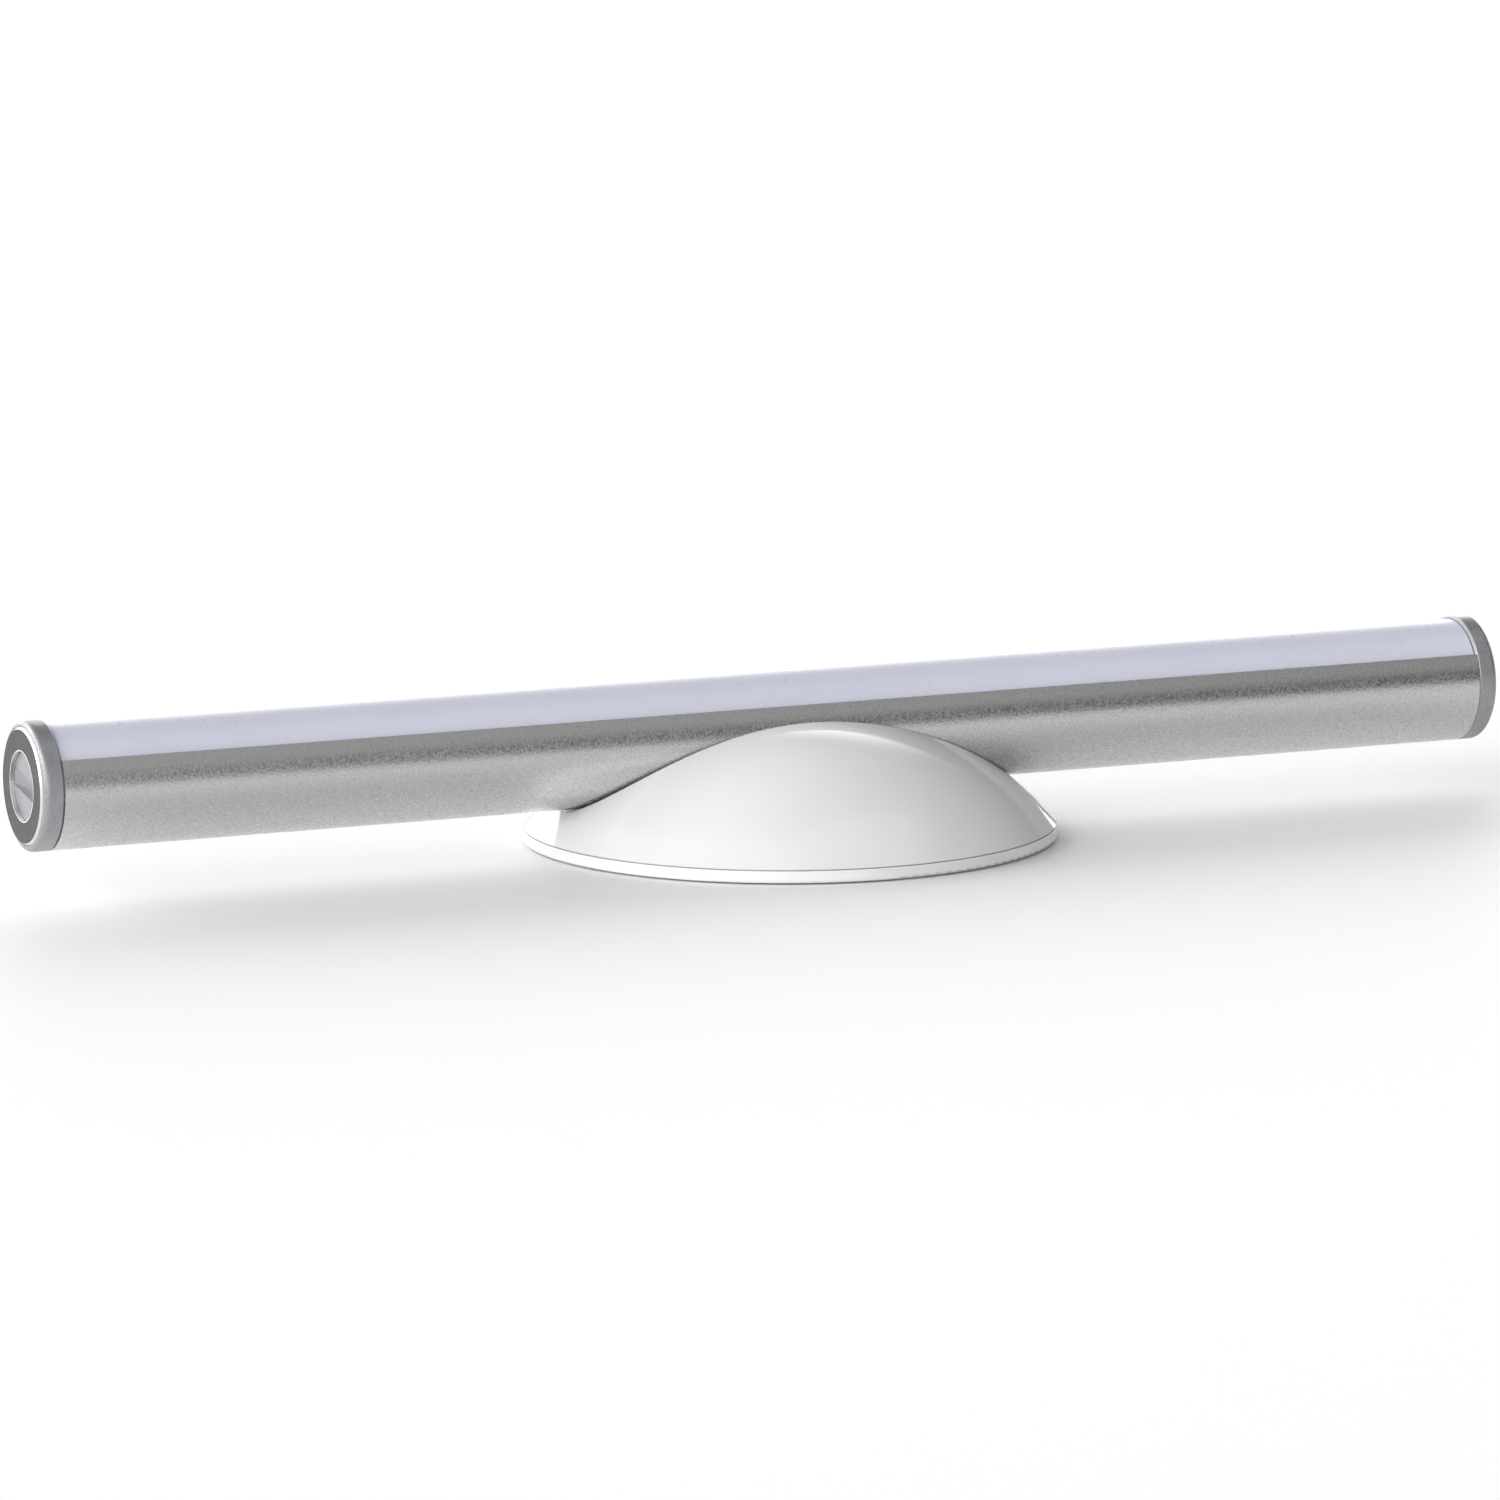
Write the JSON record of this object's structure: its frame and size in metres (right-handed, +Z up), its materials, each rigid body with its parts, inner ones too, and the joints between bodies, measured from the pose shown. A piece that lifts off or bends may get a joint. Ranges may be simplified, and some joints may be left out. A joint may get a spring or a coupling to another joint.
{
  "type": "monitor light bar",
  "caption": "Round aluminium light bar with an upward diffuser, held in the saddle of a low domed base and free to turn in it",
  "frame": {"origin": "centre of the round base's underside, on the surface that it stands on", "axes": "+Z up, +X along the bar towards its push-button end, -Y towards the front"},
  "size_m": [0.3066, 0.1046, 0.0335],
  "materials": {
    "base_gloss": "glossy injection-moulded white plastic",
    "plate_gloss": "glossy injection-moulded white plastic",
    "ballast_steel": "zinc-plated punched steel",
    "screw_steel": "zinc-plated steel",
    "pad_rubber": "matt non-slip rubber",
    "grip_rubber": "matt silicone rubber",
    "housing_anodised": "bead-blasted and clear-anodised extrusion",
    "diffuser_opal": "opal white diffusing plastic with a satin skin",
    "board_white": "white solder mask",
    "led_package": "phosphor-filled LED packages",
    "cap_silver": "silver-painted plastic with a fine texture",
    "bezel_white": "bright glossy plastic",
    "inlay_dark": "dark matt ring",
    "plug_silver": "silver-painted plastic",
    "gasket_rubber": "black rubber",
    "contact_metal": "nickel-plated spring steel",
    "cell_jacket": "plain foil jacket",
    "sleeve_plastic": "natural white moulded plastic",
    "board_green": "green solder mask",
    "component_black": "black moulded packages",
    "plunger_plastic": "moulded plastic",
    "wire_red": "insulated flexible wire"
  },
  "bodies": {
    "base": {"base_dome": "base_gloss", "base_plate": "plate_gloss", "ballast_disc": "ballast_steel", "base_screws": "screw_steel", "foot_pad": "pad_rubber", "saddle_pads": "grip_rubber"},
    "bar": {"tube_housing": "housing_anodised", "diffuser": "diffuser_opal", "led_board": "board_white", "leds": "led_package", "left_cap": "cap_silver", "right_cap": "cap_silver", "plug_socket": "bezel_white", "button_bezel": "bezel_white", "left_inlay": "inlay_dark", "right_inlay": "inlay_dark", "positive_contact": "contact_metal", "return_strip": "contact_metal", "socket_contact": "contact_metal", "battery_cells": "cell_jacket", "battery_sleeve": "sleeve_plastic", "cell_stop": "sleeve_plastic", "driver_board": "board_green", "switch_board": "board_green", "driver_components": "component_black", "tact_switch": "component_black", "battery_wire": "wire_red", "led_wires": "wire_red", "switch_wires": "wire_red"},
    "plug": {"battery_plug": "plug_silver", "plug_gasket": "gasket_rubber", "plug_contact": "contact_metal", "battery_spring": "contact_metal"},
    "button": {"power_button": "plug_silver", "switch_plunger": "plunger_plastic"}
  },
  "joints": [
    {"name": "bar_turn", "type": "hinge", "parent": "base", "child": "bar", "pos_m": [0, 0.0024, 0.021], "axis": [1, 0, 0], "continuous": true},
    {"name": "plug_turn", "type": "hinge", "parent": "bar", "child": "plug", "pos_m": [-0.1561, 0.0024, 0.021], "axis": [-1, 0, 0], "range_deg": [0, 90]},
    {"name": "button_press", "type": "slide", "parent": "bar", "child": "button", "axis": [-1, 0, 0], "range_m": [0, 0.0008], "stiffness_N_per_m": 1500, "springref_m": -0.0004}
  ]
}
